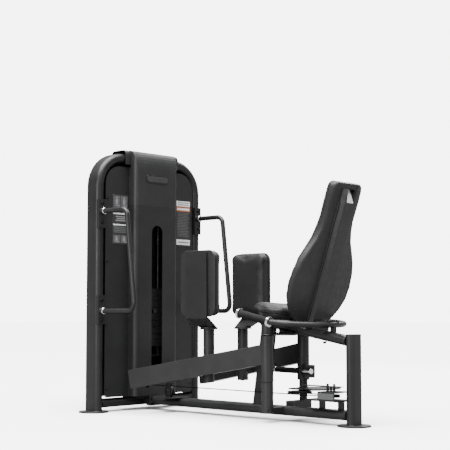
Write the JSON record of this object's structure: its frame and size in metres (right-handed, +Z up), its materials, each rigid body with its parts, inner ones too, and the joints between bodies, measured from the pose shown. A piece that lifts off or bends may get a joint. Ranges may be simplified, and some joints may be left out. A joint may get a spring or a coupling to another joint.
{
  "type": "hip abductor machine",
  "caption": "Seated hip abductor machine with a shrouded weight tower, swinging leg arms with pads, a reclined seat and hand grips.",
  "frame": {"origin": "floor level, centre of the bounding box in plan", "axes": "+Z up, +Y from the seat towards the weight tower, +X to the right of someone sitting in the seat and facing the tower"},
  "size_m": [0.929, 1.718, 1.5],
  "materials": {
    "painted_steel": "satin black powder coat",
    "sheet_cover": "satin black sheet",
    "chrome": "polished",
    "iron": "black painted",
    "nylon": "turned nylon",
    "cable_jacket": "jacketed wire rope",
    "upholstery": "synthetic leather",
    "moulded_shell": "fine texture",
    "grip_rubber": "matt"
  },
  "bodies": {
    "frame": {"tower_frame": "painted_steel", "tower_cross_rail": "painted_steel", "base_rail": "painted_steel", "rear_column": "painted_steel", "seat_tube": "painted_steel", "seat_column": "painted_steel", "front_shroud": "sheet_cover", "rear_shroud": "sheet_cover", "top_hood": "sheet_cover", "tower_handle_left": "painted_steel", "tower_handle_right": "painted_steel", "stack_base": "painted_steel", "guide_rod_left": "chrome", "guide_rod_right": "chrome", "weight_plate_4": "iron", "weight_plate_5": "iron", "weight_plate_6": "iron", "weight_plate_7": "iron", "weight_plate_8": "iron", "top_pulley_bracket": "painted_steel", "bottom_pulley_bracket": "painted_steel", "entry_pulley_bracket": "painted_steel", "turn_pulley_bracket": "painted_steel", "pull_cable": "cable_jacket", "pivot_top_plate": "painted_steel", "pivot_shaft_left": "painted_steel", "pivot_shaft_right": "painted_steel", "seat_board": "moulded_shell", "seat_bracket": "painted_steel", "seat_cushion": "upholstery", "back_bracket": "painted_steel", "back_shell": "moulded_shell", "back_cushion": "upholstery", "hand_bar": "painted_steel", "hand_grip_left": "grip_rubber", "hand_grip_right": "grip_rubber"},
    "right_arm": {"arm_right": "painted_steel", "sync_gear_right": "painted_steel", "cam_plate": "painted_steel"},
    "left_arm": {"arm_left": "painted_steel", "sync_gear_left": "painted_steel"},
    "right_pad": {"pad_bracket_right": "painted_steel", "pad_shell_right": "moulded_shell", "pad_foam_right": "upholstery"},
    "left_pad": {"pad_bracket_left": "painted_steel", "pad_shell_left": "moulded_shell", "pad_foam_left": "upholstery"},
    "start_lever": {"start_plunger": "chrome", "start_grip": "grip_rubber"},
    "lifted_stack": {"weight_head": "iron", "lift_stem": "chrome", "weight_plate_1": "iron", "weight_plate_2": "iron", "weight_plate_3": "iron"},
    "selector": {"selector_pin": "chrome"},
    "top_wheel": {"top_pulley": "nylon"},
    "bottom_wheel": {"bottom_pulley": "nylon"},
    "entry_wheel": {"entry_pulley": "nylon"},
    "turn_wheel": {"turn_pulley": "nylon"}
  },
  "joints": [
    {"name": "arm_right_swing", "type": "hinge", "parent": "frame", "child": "right_arm", "pos_m": [0.144, -0.325, 0.3], "axis": [0, 0, -1], "range_deg": [0, 50], "deforming": ["pull_cable"]},
    {"name": "arm_left_swing", "type": "hinge", "parent": "frame", "child": "left_arm", "pos_m": [-0.144, -0.325, 0.3], "axis": [0, 0, 1], "range_deg": [0, 50]},
    {"name": "stack_lift", "type": "slide", "parent": "frame", "child": "lifted_stack", "axis": [0, 0, 1], "range_m": [0, 0.11], "deforming": ["pull_cable"]},
    {"name": "turn_pulley_spin", "type": "hinge", "parent": "frame", "child": "turn_wheel", "pos_m": [-0.026, -0.644, 0.146], "axis": [0, 0, 1], "range_deg": [0, 140]},
    {"name": "entry_pulley_spin", "type": "hinge", "parent": "frame", "child": "entry_wheel", "pos_m": [-0.071, 0.478, 0.119], "axis": [1, 0, 0], "range_deg": [0, 233]},
    {"name": "bottom_pulley_spin", "type": "hinge", "parent": "frame", "child": "bottom_wheel", "pos_m": [-0.071, 0.798, 0.191], "axis": [-1, 0, 0], "range_deg": [0, 140]},
    {"name": "top_pulley_spin", "type": "hinge", "parent": "frame", "child": "top_wheel", "pos_m": [-0.0355, 0.8055, 1.312], "axis": [-0.7262, -0.6875, 0], "range_deg": [0, 123]},
    {"name": "pad_right_turn", "type": "hinge", "parent": "right_arm", "child": "right_pad", "pos_m": [0.135, 0.103, 0.47], "axis": [0, 0, 1], "range_deg": [0, 180]},
    {"name": "pad_left_turn", "type": "hinge", "parent": "left_arm", "child": "left_pad", "pos_m": [-0.135, 0.103, 0.47], "axis": [0, 0, -1], "range_deg": [0, 180]},
    {"name": "start_lever_pull", "type": "slide", "parent": "right_arm", "child": "start_lever", "axis": [0.1495, 0.9888, 0], "range_m": [0, 0.02], "stiffness_N_per_m": 600},
    {"name": "selector_pull", "type": "slide", "parent": "lifted_stack", "child": "selector", "axis": [0, -1, 0], "range_m": [0, 0.06]}
  ],
  "couplings": [
    {"joint": "arm_left_swing", "follows": "arm_right_swing", "ratio": 1},
    {"joint": "stack_lift", "follows": "arm_right_swing", "m_per_rad": 0.125},
    {"joint": "turn_pulley_spin", "follows": "arm_right_swing", "ratio": 2.7778},
    {"joint": "entry_pulley_spin", "follows": "arm_right_swing", "ratio": 4.6296},
    {"joint": "bottom_pulley_spin", "follows": "arm_right_swing", "ratio": 2.7778},
    {"joint": "top_pulley_spin", "follows": "arm_right_swing", "ratio": 2.4207}
  ]
}
